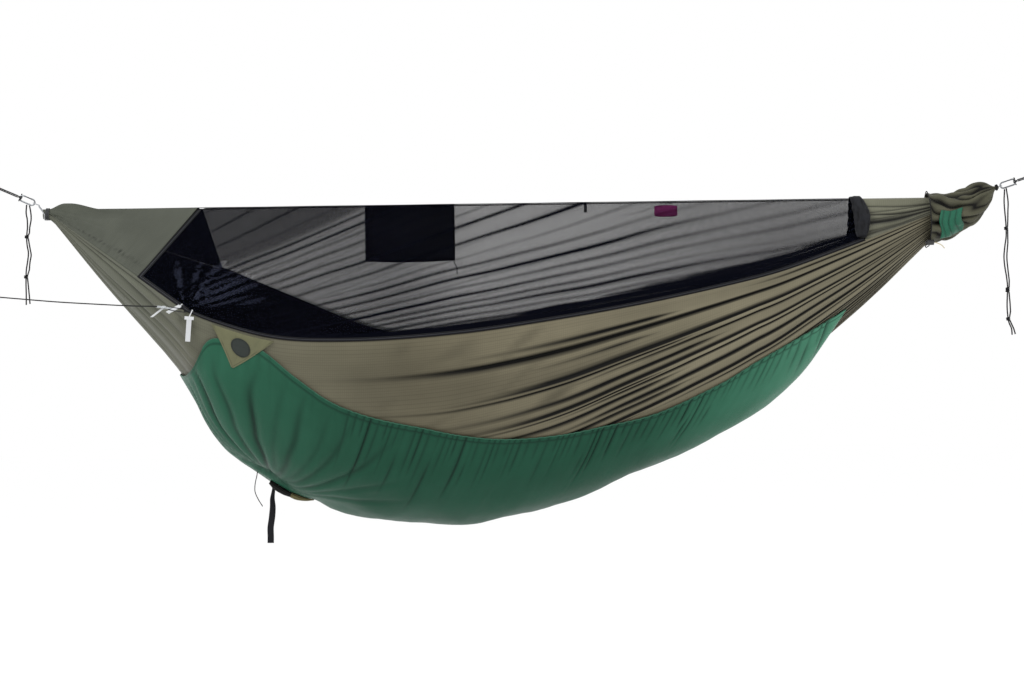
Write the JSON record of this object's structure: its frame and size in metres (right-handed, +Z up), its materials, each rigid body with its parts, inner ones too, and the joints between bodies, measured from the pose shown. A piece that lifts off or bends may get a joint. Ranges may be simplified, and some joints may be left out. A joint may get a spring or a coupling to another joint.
{
  "type": "hammock tent",
  "caption": "Gathered-end sleeping hammock with a net tent above, an insulated cover wrapped below, a ridge line, carabiner hangers and a storage sack at one end.",
  "frame": {"origin": "the eye of the left sling, where it is hung up", "axes": "+X along the ridge to the right, +Y away from the zipped front side, +Z up"},
  "size_m": [3.2633, 1.1797, 1.115],
  "materials": {
    "body_fabric": "plain woven nylon, olive brown",
    "panel_fabric": "plain woven nylon, olive",
    "cover_fabric": "thin gathered nylon over insulation, green",
    "sack_fabric": "plain woven nylon, olive, bunched",
    "net_mesh": "fine mesh, black",
    "cuff_mesh": "gathered fine mesh, black",
    "black_tape": "woven tape and webbing, black",
    "black_cord": "braided cord, black",
    "grey_cord": "thin braided cord, grey",
    "binding_cord": "wound cord, dark grey",
    "pocket_fabric": "nylon, black",
    "pouch_fabric": "nylon, purple",
    "patch_fabric": "reinforced nylon, olive tan",
    "round_patch_fabric": "matt patch, dark grey",
    "closure_fabric": "gathered binding, black",
    "tip_fabric": "bunched nylon, olive",
    "alloy": "satin",
    "gate_alloy": "satin, darker",
    "pin_steel": "drawn",
    "slider_metal": "black, semi-gloss",
    "tag_webbing": "smooth webbing, white",
    "hook_plastic": "clear moulded plastic",
    "black_plastic": "moulded, black",
    "plunger_plastic": "moulded, black",
    "beige_cord": "thin braided cord, beige"
  },
  "bodies": {
    "canopy": {"hammock_body": "body_fabric", "head_panel_front": "panel_fabric", "head_panel_back": "panel_fabric", "foot_panel": "panel_fabric", "underlayer": "cover_fabric", "underlayer_hem_front": "cover_fabric", "underlayer_hem_back": "cover_fabric", "sack_lining_fold": "cover_fabric", "storage_sack": "sack_fabric", "bug_net_front": "net_mesh", "bug_net_back": "net_mesh", "net_cuff": "cuff_mesh", "zip_tape_lower": "black_tape", "zip_tape_upper": "black_tape", "edge_binding_back": "black_tape", "ridge_tape": "black_tape", "tieout_loop": "black_tape", "compression_strap": "black_tape", "ridgeline": "black_cord", "left_hitch": "black_cord", "right_hitch": "black_cord", "left_sling": "black_cord", "right_sling": "black_cord", "left_tail_front": "black_cord", "left_tail_back": "black_cord", "right_tail_front": "black_cord", "right_tail_back": "black_cord", "sack_neck_cord": "black_cord", "sack_mouth_cord": "black_cord", "tieout_line": "black_cord", "underlayer_drawcord": "black_cord", "left_loop": "grey_cord", "right_loop": "grey_cord", "left_gather_binding": "binding_cord", "right_gather_binding": "binding_cord", "corner_patch": "patch_fabric", "round_patch": "round_patch_fabric", "closure_sleeve": "closure_fabric", "closure_tip": "tip_fabric", "left_carabiner_body": "alloy", "right_carabiner_body": "alloy", "left_carabiner_pin": "pin_steel", "right_carabiner_pin": "pin_steel", "tieout_hook": "hook_plastic", "cord_lock_body": "black_plastic", "sack_cord_end": "beige_cord"},
    "left_gate": {"left_carabiner_gate": "gate_alloy"},
    "right_gate": {"right_carabiner_gate": "gate_alloy"},
    "slider_1": {"zip_slider_1": "slider_metal"},
    "pull_1": {"zip_pull_1": "tag_webbing"},
    "slider_2": {"zip_slider_2": "slider_metal"},
    "pull_2": {"zip_pull_2": "tag_webbing"},
    "tag": {"tieout_tag": "tag_webbing"},
    "plunger": {"cord_lock_plunger": "plunger_plastic"},
    "pocket": {"ridge_pocket": "pocket_fabric", "pocket_cord": "black_cord"},
    "pouch": {"ridge_pouch": "pouch_fabric"},
    "toggle": {"ridge_toggle": "black_plastic"}
  },
  "joints": [
    {"name": "left_gate_hinge", "type": "hinge", "parent": "canopy", "child": "left_gate", "pos_m": [0.18577, 0, -0.07178], "axis": [0, -1, 0], "range_deg": [0, 25], "stiffness_Nm_per_rad": 0.03, "springref_deg": -20.05},
    {"name": "right_gate_hinge", "type": "hinge", "parent": "canopy", "child": "right_gate", "pos_m": [3.10089, 0, -0.06171], "axis": [0, 1, 0], "range_deg": [0, 25], "stiffness_Nm_per_rad": 0.03, "springref_deg": -20.05},
    {"name": "side_zip_slide", "type": "slide", "parent": "canopy", "child": "slider_1", "axis": [0.6521, -0.6236, -0.4312], "range_m": [-0.185, 0.008]},
    {"name": "side_zip_pull_hinge", "type": "hinge", "parent": "slider_1", "child": "pull_1", "pos_m": [0.68497, -0.43314, -0.40135], "axis": [-0.6521, 0.6236, 0.4312], "range_deg": [0, 120]},
    {"name": "edge_zip_slide", "type": "slide", "parent": "canopy", "child": "slider_2", "axis": [0.9136, 0.0615, -0.402], "range_m": [0, 0.012]},
    {"name": "edge_zip_pull_hinge", "type": "hinge", "parent": "slider_2", "child": "pull_2", "pos_m": [0.71541, -0.447, -0.41878], "axis": [-0.9136, -0.0615, 0.402], "range_deg": [0, 120]},
    {"name": "tieout_tag_hinge", "type": "hinge", "parent": "canopy", "child": "tag", "pos_m": [0.64107, -0.49384, -0.40958], "axis": [0.6102, -0.7922, 0], "range_deg": [-15, 45]},
    {"name": "lock_plunger_slide", "type": "slide", "parent": "canopy", "child": "plunger", "axis": [1, 0, 0], "range_m": [0, 0.004], "stiffness_N_per_m": 150, "springref_m": -0.002},
    {"name": "ridge_pocket_slide", "type": "slide", "parent": "canopy", "child": "pocket", "axis": [1, 0, 0], "range_m": [-0.38, 0.36]},
    {"name": "ridge_pouch_slide", "type": "slide", "parent": "canopy", "child": "pouch", "axis": [1, 0, 0], "range_m": [-0.18, 0.4]},
    {"name": "ridge_toggle_slide", "type": "slide", "parent": "canopy", "child": "toggle", "axis": [1, 0, 0], "range_m": [-0.36, 0.18]}
  ]
}
